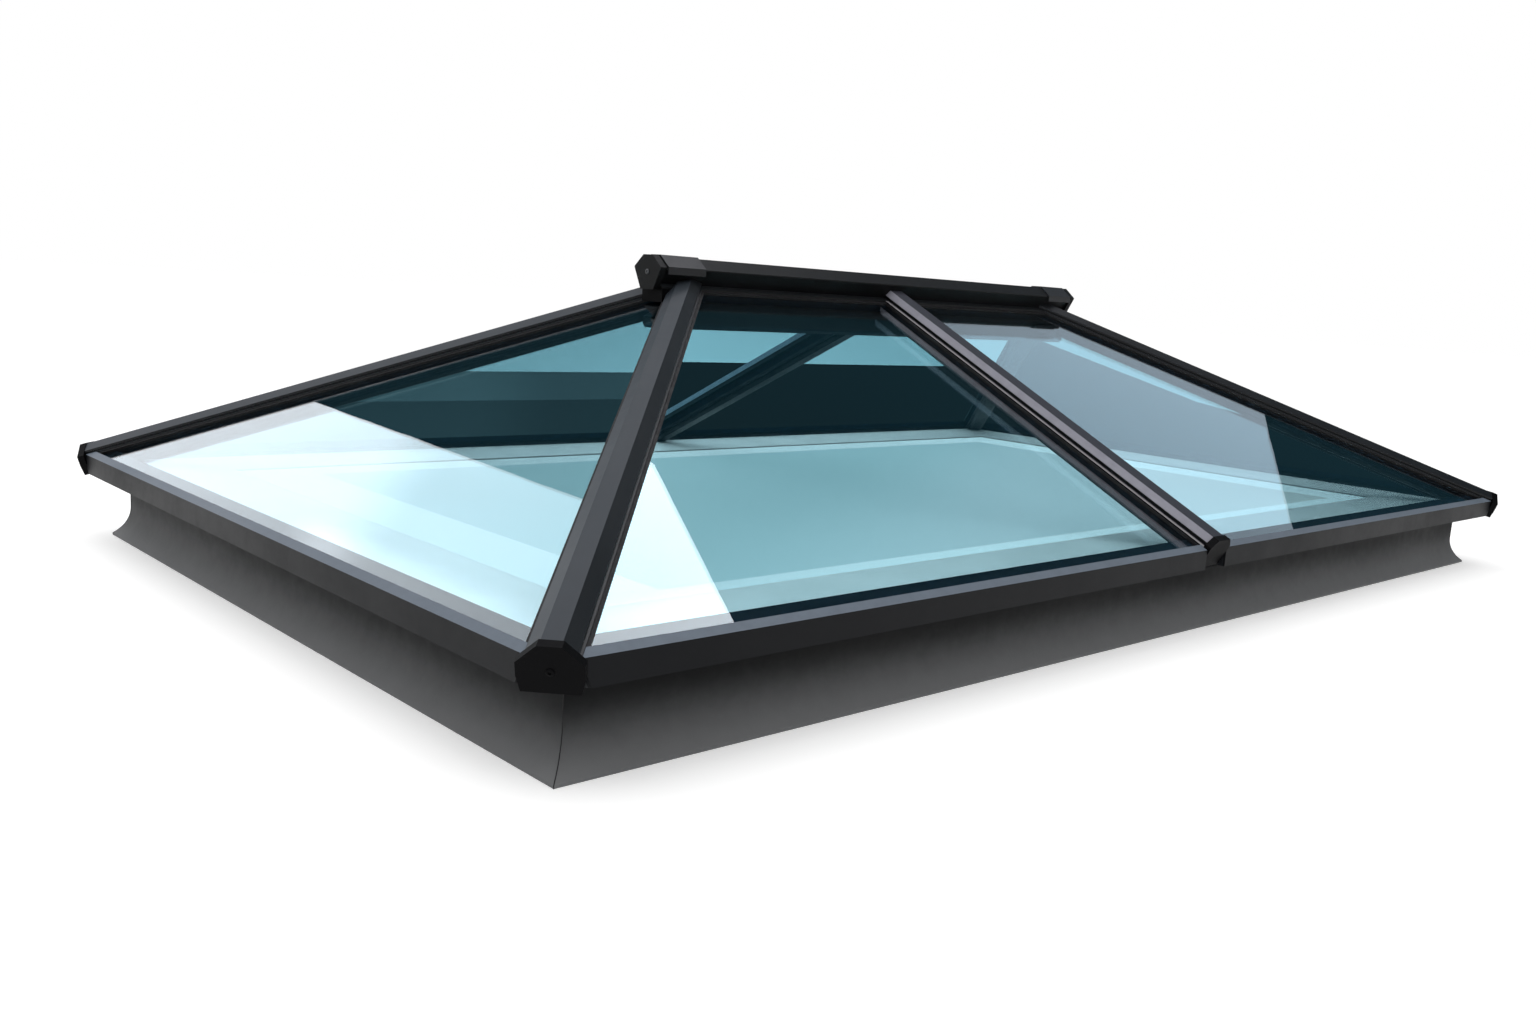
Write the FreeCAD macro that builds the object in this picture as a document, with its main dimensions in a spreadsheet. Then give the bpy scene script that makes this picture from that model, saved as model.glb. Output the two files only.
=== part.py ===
import FreeCAD, Part
import os
import re
import Sketcher

# Hipped roof lantern on a coved kerb: X along the ridge, Z up, origin at the middle of the base.
# Driving sizes in millimetres and degrees
SIZES = {
    "eaves_length": 2500,
    "eaves_width": 1500,
    "eaves_height": 146,
    "pitch": 26,
    "fascia_drop": 32,
    "fascia_thick": 3,
    "strip_run": 13,
    "kerb_inset": 65,
    "kerb_thick": 36,
    "cove_height": 54,
    "cove_flare": 24,
    "toe_height": 4,
    "lining_thick": 99,
    "ledge_thick": 8,
    "flange_thick": 6,
    "nib_thick": 5,
    "seat_start": 16,
    "seat_end": 40,
    "outer_glass": 4,
    "inner_glass": 4,
    "glass_cavity": 12,
    "outer_gasket": 4,
    "inner_gasket": 3,
    "pane_eaves_gap": 12,
    "pane_clear": 2,
    "spacer_back": 4,
    "spacer_width": 9,
    "spacer_eaves": 27,
    "gasket_show": 2,
    "cap_top_half": 11,
    "cap_edge_half": 26,
    "cap_groove_half": 22,
    "cap_lip_half": 28,
    "cap_lip_thick": 2.5,
    "cap_groove_tall": 3,
    "cap_edge_tall": 3,
    "cap_rise": 12,
    "rafter_top_half": 16,
    "rafter_edge_half": 20,
    "rafter_groove_half": 15,
    "rafter_rise": 12,
    "neck_half": 6,
    "bar_flange_half": 24,
    "bar_flange_tall": 3,
    "bar_half": 18,
    "bar_depth": 13,
    "bar_chamfer": 5,
    "end_cap_thick": 12,
    "end_cap_margin": 1.5,
    "hip_cap_half": 34,
    "hip_end_rise": 20.5,
    "rafter_cap_half": 30,
    "rafter_end_rise": 13.5,
    "hip_end_back": 28,
    "hip_cap_drop": 36,
    "end_cap_taper": 4,
    "rafter_end_back": 12,
    "rafter_cap_drop": 26,
    "ridge_foot_half": 27,
    "ridge_neck_half": 15,
    "ridge_flange_half": 40,
    "ridge_edge_half": 34,
    "ridge_edge_rise": 24,
    "ridge_edge_tall": 2,
    "ridge_cap_rise": 18,
    "ridge_overhang": 72,
    "ridge_end_thick": 12,
    "ridge_end_drop": 11,
    "ridge_end_foot_half": 17,
    "ridge_beam_depth": 34,
    "collar_length": 80,
    "collar_shift": 28,
    "collar_thick": 2.5,
    "collar_skirt": 9,
    "fit_gap": 0.5,
}

# Sizes that follow from the driving ones
DERIVED = {
    "slope": "tan(pitch)",
    "roof_sec": "1 / cos(pitch)",
    "hip_pitch": "atan(slope / sqrt(2))",
    "hip_fall": "sin(hip_pitch)",
    "hip_sec": "sqrt(1 + hip_fall * hip_fall)",
    "hip_stretch": "sqrt(1 + cos(pitch) * cos(pitch))",
    "unit_thick": "outer_glass + glass_cavity + inner_glass",
    "seat_depth": "unit_thick + inner_gasket",
    "kerb_top": "eaves_height - fascia_drop",
    "glass_eaves": "eaves_height - (fascia_thick + outer_gasket) * roof_sec",
    "roof_run": "eaves_width / 2 * roof_sec",
    "glass_apex": "glass_eaves + eaves_width / 2 * slope",
    "hip_run": "eaves_width / sqrt(2) / cos(hip_pitch)",
    "junction": "(eaves_length - eaves_width) / 2",
    "ledge_top": "kerb_top + flange_thick + ledge_thick",
    "lining_in": "kerb_inset + kerb_thick + lining_thick",
    "kerb_in": "kerb_inset + kerb_thick",
    "kerb_tip": "kerb_inset - cove_flare",
    "nib_in": "fascia_thick + nib_thick",
    "cove_rise": "cove_height - toe_height",
    "cove_radius": "(cove_flare * cove_flare + cove_rise * cove_rise) / (2 * cove_flare)",
    "pane_hip_gap": "(neck_half + pane_clear) * hip_sec + seat_depth * hip_fall",
    "pane_ridge_gap": "(neck_half + pane_clear) * roof_sec + seat_depth * slope",
    "pane_rafter_gap": "neck_half + pane_clear",
    "strip_edge": "strip_run * roof_sec + (fascia_thick + outer_gasket) * slope",
    "cap_groove_top": "outer_gasket + cap_lip_thick + cap_groove_tall",
    "ridge_shoulder": "ridge_edge_rise + ridge_edge_tall",
    "ridge_top": "ridge_shoulder + ridge_cap_rise",
    "far_out": "400",
}

# Each side: turn about Z, its run, and the axis, sign and span that set it out
SIDES = {
    "front": (0, "eaves_length", "y", -1, "eaves_width"),
    "right": (90, "eaves_width", "x", 1, "eaves_length"),
    "back": (180, "eaves_length", "y", 1, "eaves_width"),
    "left": (-90, "eaves_width", "x", -1, "eaves_length"),
}

# Each hip: turn about Z of its uphill run, and the signs of its corner
HIPS = {
    "front_left": (45, -1, -1),
    "front_right": (135, 1, -1),
    "back_right": (-135, 1, 1),
    "back_left": (-45, -1, 1),
}

# Each glazed unit: its side, and which half of that side it fills
UNITS = {
    "front_left": ("front", -1),
    "front_right": ("front", 1),
    "back_left": ("back", 1),
    "back_right": ("back", -1),
    "left_end": ("left", 0),
    "right_end": ("right", 0),
}

# Half widths of crown, edge and groove, and the rises of the cap and its end, of each kind of outer cap
CAPS = {
    "hip": ("cap_top_half", "cap_edge_half", "cap_groove_half", "cap_rise", "hip_end_rise"),
    "rafter": ("rafter_top_half", "rafter_edge_half", "rafter_groove_half", "rafter_rise", "rafter_end_rise"),
}

# How the glass falls away from each kind of bar, and the stretch of an offset in its section
KINDS = {
    "hip": ("hip_fall", "hip_sec"),
    "rafter": ("0", "1"),
    "ridge": ("slope", "roof_sec"),
}

doc = FreeCAD.newDocument("roof_lantern")
dims = doc.addObject("Spreadsheet::Sheet", "Dims")
NAMES = list(SIZES) + list(DERIVED)
for row, name in enumerate(NAMES, 1):
    dims.set(f"A{row}", name.replace("_", " "))
    dims.set(f"B{row}", str(SIZES[name]) if name in SIZES else "=" + DERIVED[name])
    dims.setAlias(f"B{row}", name)
doc.recompute()


def linked(text):
    """Point every size name in an expression at the sheet."""
    return re.sub(r"[a-z_]+", lambda m: "Dims." + m.group() if m.group() in NAMES else m.group(), text)


def number(text):
    """Present value of an expression."""
    value = dims.evalExpression(linked(text))
    return float(getattr(value, "Value", value))


def bind(item, **expressions):
    """Bind properties, with double underscores for dots."""
    for prop, text in expressions.items():
        item.setExpression(prop.replace("__", "."), linked(str(text)))
    return item


def new_body(name):
    return doc.addObject("PartDesign::Body", name)


def sketch_on(body, name, plane, loops, offset="0"):
    """Sketch of closed loops with every corner set out from the origin by expressions.

    A corner is (x, y), or (x, y, cx, cy) where an arc about (cx, cy) leads on to the next corner.
    """
    sketch = body.newObject("Sketcher::SketchObject", name)
    support = [item for item in body.Origin.OriginFeatures if item.Role == plane][0]
    sketch.AttachmentSupport = [(support, "")]
    sketch.MapMode = "FlatFace"
    bind(sketch, AttachmentOffset__Base__z=offset)
    first = 0
    for loop in loops:
        corners = [FreeCAD.Vector(number(corner[0]), number(corner[1]), 0) for corner in loop]
        for index, corner in enumerate(loop):
            start = corners[index]
            end = corners[(index + 1) % len(loop)]
            if len(corner) == 2:
                sketch.addGeometry(Part.LineSegment(start, end), False)
            else:
                centre = FreeCAD.Vector(number(corner[2]), number(corner[3]), 0)
                sketch.addGeometry(arc_between(start, end, centre), False)
        for index in range(len(loop)):
            after = first + (index + 1) % len(loop)
            sketch.addConstraint(Sketcher.Constraint("Coincident", first + index, 2, after, 1))
        for index, corner in enumerate(loop):
            fix_point(sketch, first + index, 1, corner[0], corner[1])
            if len(corner) > 2:
                fix_point(sketch, first + index, 3, corner[2], None)
        first += len(loop)
    return sketch


def arc_between(start, end, centre):
    """Shorter arc from start to end, in the sense that goes anticlockwise."""
    middle = (start + end) / 2 - centre
    middle.multiply((start - centre).Length / middle.Length)
    return Part.Arc(start, centre + middle, end)


def fix_point(sketch, geometry, point, x_text, y_text):
    """Tie one point of a sketch to its origin, each way by its own expression."""
    for kind, text in (("DistanceX", x_text), ("DistanceY", y_text)):
        if text is None:
            continue
        rule = Sketcher.Constraint(kind, -1, 1, geometry, point, number(text))
        index = sketch.addConstraint(rule)
        label = f"{kind}_{geometry}_{point}"
        sketch.renameConstraint(index, label)
        sketch.setExpression(f"Constraints.{label}", linked(text))


def pad(body, sketch, length, symmetric=False):
    item = body.newObject("PartDesign::Pad", "Pad")
    item.Profile = sketch
    bind(item, Length=length)
    if symmetric:
        item.SideType = "Symmetric"
    body.Tip = item
    return body


def solid_pad(name, plane, corners, length, offset="0", symmetric=False):
    """Body made by padding one profile."""
    body = new_body(name)
    return pad(body, sketch_on(body, name + "_profile", plane, [corners], offset), length, symmetric)


def place_on_side(item, side, height="0", roll="0"):
    """Set an item out from the middle of one side's arris line, Y inwards."""
    turn, run, axis, sign, span = SIDES[side]
    bind(item, Placement__Base__z=height)
    bind(item, Placement__Rotation__Yaw=turn, Placement__Rotation__Roll=roll)
    item.setExpression("Placement.Base." + axis, linked(f"{sign} * {span} / 2"))
    return item


def place_on_hip(item, hip):
    """X runs up the hip line from the corner where the outer glass planes meet the arrises."""
    turn, sign_x, sign_y = HIPS[hip]
    bind(item, Placement__Rotation__Yaw=turn, Placement__Rotation__Pitch="-hip_pitch")
    bind(item, Placement__Base__x=f"{sign_x} * eaves_length / 2")
    bind(item, Placement__Base__y=f"{sign_y} * eaves_width / 2")
    return bind(item, Placement__Base__z="glass_eaves")


def place_on_rafter(item, side):
    """X runs up the middle of a long slope from the arris."""
    turn, run, axis, sign, span = SIDES[side]
    bind(item, Placement__Rotation__Yaw=-90 * sign, Placement__Rotation__Pitch="-pitch")
    return bind(item, Placement__Base__y=f"{sign} * {span} / 2", Placement__Base__z="glass_eaves")


def box(name, low, high):
    """Block between two corners given as expressions."""
    item = doc.addObject("Part::Box", name)
    for axis, size, a, b in zip("xyz", ("Length", "Width", "Height"), low, high):
        item.setExpression("Placement.Base." + axis, linked(a))
        item.setExpression(size, linked(f"({b}) - ({a})"))
    return item


def cut(name, base, tool):
    item = doc.addObject("Part::Cut", name)
    item.Base = base
    item.Tool = tool
    return item


def common(name, base, tool):
    item = doc.addObject("Part::Common", name)
    item.Base = base
    item.Tool = tool
    return item


def group(name, items):
    item = doc.addObject("Part::Compound", name)
    item.Links = items
    return item


def both_halves(right_half):
    """Close a section about its middle line, from its right half listed upwards from the middle."""
    left_half = [(f"-({x})", y) for x, y in reversed(right_half) if x != "0"]
    return right_half + left_half


def mitred(name, side, corners, depth):
    """Length of a section along one side, mitred at both corners."""
    turn, run, axis, sign, span = SIDES[side]
    body = solid_pad(name, "YZ_Plane", corners, run, symmetric=True)
    loops = []
    for end in (-1, 1):
        tip = f"{end} * ({run} / 2 + far_out)"
        loop = [
            (tip, "-far_out"),
            (tip, f"{depth} + far_out"),
            (f"{end} * ({run} / 2 - {depth} - far_out)", f"{depth} + far_out"),
        ]
        loops.append(loop)
    sketch = sketch_on(body, name + "_mitres", "XY_Plane", loops)
    pocket = body.newObject("PartDesign::Pocket", "Mitres")
    pocket.Profile = sketch
    pocket.Type = "ThroughAll"
    pocket.SideType = "Symmetric"
    body.Tip = pocket
    return place_on_side(body, side)


def in_plane(offset, across, kind):
    """Height in a bar's section of a plane offset from the outer glass, at a distance across."""
    fall, sec = KINDS[kind]
    return f"(({offset}) * {sec} - ({across}) * {fall})"


def cap_section(kind):
    """Outer cap of a hip or rafter: flat crown, sloped shoulders, shadow groove and glazing lip."""
    top_half, edge_half, groove_half, rise, end_rise = CAPS[kind]
    edge = in_plane("cap_groove_top", edge_half, kind)
    right = [
        ("0", in_plane("outer_gasket", "0", kind)),
        ("cap_lip_half", in_plane("outer_gasket", "cap_lip_half", kind)),
        ("cap_lip_half", in_plane("outer_gasket + cap_lip_thick", "cap_lip_half", kind)),
        (groove_half, in_plane("outer_gasket + cap_lip_thick", groove_half, kind)),
        (groove_half, edge),
        (edge_half, edge),
        (edge_half, f"{edge} + cap_edge_tall"),
        (top_half, f"{edge} + cap_edge_tall + {rise}"),
    ]
    return both_halves(right)


def bar_section(kind, flange, depth):
    """Inner bar: neck between the units, glazing flange and chamfered box."""
    rim = in_plane("-seat_depth", flange, kind)
    right = [
        ("bar_half - bar_chamfer", f"{rim} - {depth}"),
        ("bar_half", f"{rim} - {depth} + bar_chamfer"),
        ("bar_half", f"{rim} - bar_flange_tall"),
        (flange, f"{rim} - bar_flange_tall"),
        (flange, rim),
        ("neck_half", in_plane("-seat_depth", "neck_half", kind)),
        ("neck_half", in_plane("outer_gasket", "neck_half", kind)),
        ("0", in_plane("outer_gasket", "0", kind)),
    ]
    return both_halves(right)


def end_cap_section(kind, half, drop):
    """Closing plate: a crown just above the cap's, broad shoulders, and sides carried down over the eaves."""
    top_half, edge_half, groove_half, rise, end_rise = CAPS[kind]
    crown = in_plane("cap_groove_top", edge_half, kind) + f" + cap_edge_tall + {rise} + end_cap_margin"
    right = [
        (f"{half} - end_cap_taper", f"-{drop}"),
        (half, f"-{drop} / 2"),
        (half, f"{crown} - {end_rise}"),
        (f"{top_half} + end_cap_margin", crown),
    ]
    return both_halves(right)


def unit_corners(half, eaves, hip, ridge, rafter):
    """Corners of a glazed unit's outline in its slope, drawn in from the lines of its edges."""
    low = f"({eaves})"
    if half == 0:
        reach = f"(eaves_width / 2 - {low} * cos(pitch) - ({hip}) * hip_stretch)"
        apex = f"(eaves_width / 2 - ({hip}) * hip_stretch) / cos(pitch)"
        return [(f"-{reach}", low), (reach, low), ("0", apex)]
    high = f"(roof_run - ({ridge}))"
    low_end = f"(eaves_length / 2 - {low} * cos(pitch) - ({hip}) * hip_stretch)"
    high_end = f"(eaves_length / 2 - {high} * cos(pitch) - ({hip}) * hip_stretch)"
    inner = f"({rafter})"
    corners = [(inner, low), (low_end, low), (high_end, high), (inner, high)]
    if half < 0:
        corners = [(f"-{x}", y) for x, y in reversed(corners)]
    return corners


def unit_layer(name, unit, loops, base, thick):
    """Layer of a glazed unit, parallel to its slope."""
    side = UNITS[unit][0]
    body = new_body(name)
    pad(body, sketch_on(body, name + "_outline", "XY_Plane", loops, base), thick)
    return place_on_side(body, side, "glass_eaves", "pitch")


def pane_edge(eaves, others):
    """Outline set in from the edges of the panes, by its own distance at the eaves."""
    edges = [f"{edge} + {others}" for edge in ("pane_hip_gap", "pane_ridge_gap", "pane_rafter_gap")]
    return [f"pane_eaves_gap + {eaves}"] + edges


nodes = []


def node(item, label):
    """Name a finished sub-part, which also names its file."""
    item.Label = label
    nodes.append(item)
    return item


# Room that the end caps take out of the eaves
def square_room(name, half, low, high, start, end):
    corners = [(f"-({half})", low), (half, low), (half, high), (f"-({half})", high)]
    return solid_pad(name, "YZ_Plane", corners, f"({end}) - ({start})", start)


low = "-far_out / 2"
high = "far_out / 2"
lip_half = "cap_lip_half + fit_gap"
corner_rooms = []
lip_rooms = []
for hip in HIPS:
    room = square_room("corner_room_" + hip, high, low, high, "-far_out", "hip_end_back")
    corner_rooms.append(place_on_hip(room, hip))
    room = square_room("lip_room_" + hip, lip_half, low, high, "-far_out", high)
    lip_rooms.append(place_on_hip(room, hip))
corner_room = group("corner_room", corner_rooms)
lip_room = group("lip_room", lip_rooms)

strip_rooms = {}
notch_rooms = {}
for side in ("front", "back"):
    room = square_room("strip_room_" + side, lip_half, low, high, "-far_out", high)
    strip_rooms[side] = place_on_rafter(room, side)
    under = "-(rafter_cap_drop + fit_gap)"
    half = "rafter_cap_half + fit_gap"
    room = square_room("notch_room_" + side, half, under, high, "-far_out", "rafter_end_back")
    notch_rooms[side] = place_on_rafter(room, side)

# Ridge cap, the outline that the other caps stop against, and the room inside the eaves
lip_top = "outer_gasket + cap_lip_thick"
RIDGE_SIDE = [
    ("ridge_foot_half", "glass_apex + " + in_plane("outer_gasket", "ridge_foot_half", "ridge")),
    ("ridge_foot_half", "glass_apex + " + in_plane(lip_top, "ridge_foot_half", "ridge")),
    ("ridge_neck_half", "glass_apex + " + in_plane(lip_top, "ridge_neck_half", "ridge")),
    ("ridge_edge_half", "glass_apex + ridge_edge_rise"),
    ("ridge_edge_half", "glass_apex + ridge_shoulder"),
    ("cap_top_half", "glass_apex + ridge_top"),
]
ridge_under = ("0", f"glass_apex + {in_plane('outer_gasket', '0', 'ridge')}")
ridge_length = "2 * (junction + ridge_overhang)"
ridge_section = both_halves([ridge_under] + RIDGE_SIDE)
ridge_cap = solid_pad("ridge_cap", "YZ_Plane", ridge_section, ridge_length, symmetric=True)
node(ridge_cap, "ridge_cap")

ridge_rooms = {}
beam_rooms = {}
for side in ("front", "back"):
    floor = "glass_apex - far_out / 2"
    outline = [("-ridge_foot_half", floor)] + [(f"-{x}", y) for x, y in RIDGE_SIDE]
    outline += [("far_out", RIDGE_SIDE[-1][1]), ("far_out", floor)]
    room = solid_pad("ridge_room_" + side, "YZ_Plane", outline, ridge_length, symmetric=True)
    ridge_rooms[side] = bind(room, Placement__Rotation__Yaw=SIDES[side][0])
    half = square_room("beam_room_" + side, "far_out", "0", "2 * far_out", "-eaves_length", "eaves_length")
    turn, run, axis, sign, span = SIDES[side]
    bind(half, Placement__Rotation__Yaw=turn, Placement__Base__y=f"{sign} * (ridge_flange_half - far_out)")
    beam_rooms[side] = half
inner_room = box(
    "inner_room",
    ("seat_end - eaves_length / 2", "seat_end - eaves_width / 2", "ledge_top"),
    ("eaves_length / 2 - seat_end", "eaves_width / 2 - seat_end", "ledge_top + 2 * far_out"),
)

# Kerb with a cove at its foot
for side in SIDES:
    section = [
        ("kerb_tip", "toe_height", "kerb_inset - cove_radius", "cove_height"),
        ("kerb_inset", "cove_height"),
        ("kerb_inset", "kerb_top"),
        ("kerb_in", "kerb_top"),
        ("kerb_in", "0"),
        ("kerb_tip", "0"),
    ]
    node(mitred("kerb_" + side, side, section, "kerb_in"), "kerb_" + side)

# Pale ledge and lining inside the kerb
for side in SIDES:
    section = [
        ("seat_end", "kerb_top + flange_thick"),
        ("kerb_in", "kerb_top + flange_thick"),
        ("kerb_in", "0"),
        ("lining_in", "0"),
        ("lining_in", "ledge_top"),
        ("seat_end", "ledge_top"),
    ]
    node(mitred("lining_" + side, side, section, "lining_in"), "lining_" + side)

# Eaves beams that carry the glass, and the strips and fascias that cover them
for side in SIDES:
    nib = "eaves_height - fascia_thick * roof_sec"
    seat = "glass_eaves - seat_depth * roof_sec"
    strip_high = "eaves_height + strip_run * slope"
    section = [
        ("fascia_thick", "kerb_top"),
        ("kerb_in", "kerb_top"),
        ("kerb_in", "kerb_top + flange_thick"),
        ("seat_end", "kerb_top + flange_thick"),
        ("seat_end", f"{seat} + seat_end * slope"),
        ("seat_start", f"{seat} + seat_start * slope"),
        ("nib_in", f"{seat} + seat_start * slope"),
        ("nib_in", f"{nib} + nib_in * slope"),
        ("fascia_thick", f"{nib} + fascia_thick * slope"),
    ]
    beam = cut("beam_trim_" + side, mitred("beam_" + side, side, section, "kerb_in"), corner_room)
    if side in notch_rooms:
        beam = cut("beam_notch_" + side, beam, notch_rooms[side])
    node(beam, "eaves_beam_" + side)
    section = [
        ("0", "kerb_top"),
        ("fascia_thick", "kerb_top"),
        ("fascia_thick", f"{nib} + fascia_thick * slope"),
        ("strip_run + fascia_thick * sin(pitch)", f"{strip_high} - fascia_thick * cos(pitch)"),
        ("strip_run", strip_high),
        ("0", "eaves_height"),
    ]
    cover = cut("cover_trim_" + side, mitred("cover_" + side, side, section, "kerb_in"), corner_room)
    cover = cut("cover_lip_" + side, cover, lip_room)
    if side in strip_rooms:
        cover = cut("cover_gap_" + side, cover, strip_rooms[side])
        cover = cut("cover_notch_" + side, cover, notch_rooms[side])
    node(cover, "eaves_cover_" + side)

# Glazed units, their spacers and gaskets
outer_sight = [
    "strip_edge + gasket_show",
    "cap_lip_half * hip_sec + outer_gasket * hip_fall + gasket_show",
    "ridge_foot_half * roof_sec + outer_gasket * slope + gasket_show",
    "cap_lip_half + gasket_show",
]
inner_sight = [
    "seat_end * roof_sec - seat_depth * slope",
    "bar_flange_half * hip_sec - seat_depth * hip_fall",
    "ridge_flange_half * roof_sec - seat_depth * slope",
    "bar_flange_half",
]
spacers = []
gaskets = []
for unit, (side, half) in UNITS.items():
    edge = unit_corners(half, *pane_edge("0", "0"))
    panes = [
        unit_layer("outer_pane_" + unit, unit, [edge], "-outer_glass", "outer_glass"),
        unit_layer("inner_pane_" + unit, unit, [edge], "-unit_thick", "inner_glass"),
    ]
    node(group("glass_" + unit, panes), "glass_" + unit)
    rim = pane_edge("spacer_back", "spacer_back")
    sight = pane_edge("spacer_back + spacer_eaves", "spacer_back + spacer_width")
    loops = [unit_corners(half, *rim), unit_corners(half, *sight)]
    spacers.append(unit_layer("spacer_" + unit, unit, loops, "inner_glass - unit_thick", "glass_cavity"))
    loops = [edge, unit_corners(half, *outer_sight)]
    gaskets.append(unit_layer("outer_gasket_" + unit, unit, loops, "0", "outer_gasket"))
    loops = [edge, unit_corners(half, *inner_sight)]
    gaskets.append(unit_layer("inner_gasket_" + unit, unit, loops, "-seat_depth", "inner_gasket"))
node(group("spacer_frames", spacers), "spacer_frames")
node(group("glazing_gaskets", gaskets), "glazing_gaskets")

# Hips: inner bar, outer cap and the end caps at the corners
end_caps = []
for hip in HIPS:
    long_side = hip.split("_")[0]
    section = bar_section("hip", "bar_flange_half", "bar_depth")
    bar = solid_pad("hip_core_" + hip, "YZ_Plane", section, "hip_run")
    bar = common("hip_foot_" + hip, place_on_hip(bar, hip), inner_room)
    node(cut("hip_head_" + hip, bar, beam_rooms[long_side]), "hip_bar_" + hip)
    length = "hip_run - hip_end_back + cap_lip_half"
    cap = solid_pad("hip_cover_" + hip, "YZ_Plane", cap_section("hip"), length, "hip_end_back")
    cap = cut("hip_top_" + hip, place_on_hip(cap, hip), ridge_rooms[long_side])
    node(cap, "hip_cap_" + hip)
    outline = end_cap_section("hip", "hip_cap_half", "hip_cap_drop")
    start = "hip_end_back - end_cap_thick"
    plate = solid_pad("hip_end_" + hip, "YZ_Plane", outline, "end_cap_thick", start)
    end_caps.append(place_on_hip(plate, hip))
node(group("hip_end_caps", end_caps), "hip_end_caps")

# Rafters at the middle of the long sides
end_caps = []
for side in ("front", "back"):
    section = bar_section("rafter", "bar_flange_half", "bar_depth")
    bar = solid_pad("rafter_core_" + side, "YZ_Plane", section, "roof_run")
    bar = common("rafter_foot_" + side, place_on_rafter(bar, side), inner_room)
    node(cut("rafter_head_" + side, bar, beam_rooms[side]), "rafter_bar_" + side)
    cap = solid_pad("rafter_cover_" + side, "YZ_Plane", cap_section("rafter"), "roof_run", "rafter_end_back")
    cap = cut("rafter_top_" + side, place_on_rafter(cap, side), ridge_rooms[side])
    node(cap, "rafter_cap_" + side)
    outline = end_cap_section("rafter", "rafter_cap_half", "rafter_cap_drop")
    plate = solid_pad("rafter_end_" + side, "YZ_Plane", outline, "rafter_end_back")
    end_caps.append(place_on_rafter(plate, side))
node(group("rafter_end_caps", end_caps), "rafter_end_caps")

# Ridge beam, its ends cut back under the end units
slope_rooms = []
fill_rooms = []
for side in ("left", "right"):
    outline = [("-far_out", "0"), ("far_out", "0"), ("far_out", "2 * roof_run"), ("-far_out", "2 * roof_run")]
    body = new_body("slope_room_" + side)
    pad(body, sketch_on(body, "slope_room_outline_" + side, "XY_Plane", [outline], "-seat_depth"), "far_out")
    slope_rooms.append(place_on_side(body, side, "glass_eaves", "pitch"))
    body = new_body("fill_room_" + side)
    start = "outer_gasket - far_out"
    pad(body, sketch_on(body, "fill_room_outline_" + side, "XY_Plane", [outline], start), "far_out")
    fill_rooms.append(place_on_side(body, side, "glass_eaves", "pitch"))
section = [(x, f"glass_apex + {y}") for x, y in bar_section("ridge", "ridge_flange_half", "ridge_beam_depth")]
beam = solid_pad("ridge_core", "YZ_Plane", section, ridge_length, symmetric=True)
node(cut("ridge_beam", beam, group("slope_rooms", slope_rooms)), "ridge_beam")

# Ridge ends: closing plates, saddles over the hip junctions and the fillings below
end_plates = []
saddles = []
fillings = []
skirt_low = "glass_apex + ridge_edge_rise - collar_skirt"
inner_line = [("ridge_edge_half", skirt_low)] + RIDGE_SIDE[-2:]
outer_line = [
    ("ridge_edge_half + collar_thick", skirt_low),
    ("ridge_edge_half + collar_thick", "glass_apex + ridge_shoulder + collar_thick / 2"),
    ("cap_top_half + collar_thick / 2", "glass_apex + ridge_top + collar_thick"),
]
saddle_section = both_halves(outer_line)
saddle_section += [(f"-({x})", y) for x, y in inner_line] + list(reversed(inner_line))
plate_section = both_halves([
    ("ridge_end_foot_half", "glass_apex - ridge_end_drop"),
    ("ridge_edge_half + end_cap_margin", "glass_apex + ridge_edge_rise"),
    ("ridge_edge_half + end_cap_margin", "glass_apex + ridge_shoulder"),
    ("cap_top_half + end_cap_margin", "glass_apex + ridge_top + end_cap_margin"),
])
fill_section = both_halves([("ridge_foot_half", "glass_apex - far_out / 2"), RIDGE_SIDE[0], ridge_under])
for side, turn, fill_room in (("left", 180, fill_rooms[0]), ("right", 0, fill_rooms[1])):
    start = "junction + ridge_overhang"
    plate = solid_pad("ridge_plate_" + side, "YZ_Plane", plate_section, "ridge_end_thick", start)
    end_plates.append(bind(plate, Placement__Rotation__Yaw=turn))
    start = "junction + collar_shift - collar_length / 2"
    saddle = solid_pad("saddle_" + side, "YZ_Plane", saddle_section, "collar_length", start)
    saddles.append(bind(saddle, Placement__Rotation__Yaw=turn))
    length = "ridge_overhang - neck_half"
    block = solid_pad("fill_block_" + side, "YZ_Plane", fill_section, length, "junction + neck_half")
    bind(block, Placement__Rotation__Yaw=turn)
    fillings.append(cut("fill_" + side, block, fill_room))
node(group("ridge_end_caps", end_plates), "ridge_end_caps")
node(group("ridge_saddles", saddles), "ridge_saddles")
node(group("ridge_fillings", fillings), "ridge_fillings")

# Checks, then one file for each sub-part
doc.recompute()
for item in doc.Objects:
    if "Invalid" in item.State or "Error" in item.State:
        raise RuntimeError(f"{item.Name} did not compute: {item.State}")
for item in nodes:
    shape = item.Shape
    if shape.isNull() or not shape.isValid() or not shape.Solids:
        raise RuntimeError(f"{item.Label} has no valid solid")
os.makedirs("parts", exist_ok=True)
for item in nodes:
    item.Shape.exportStep(f"parts/{item.Label}.step")
    print(item.Label, len(item.Shape.Solids), round(item.Shape.Volume / 1e6, 3))
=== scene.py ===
import math

import bmesh
import bpy
from mathutils import Matrix, Vector


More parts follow.
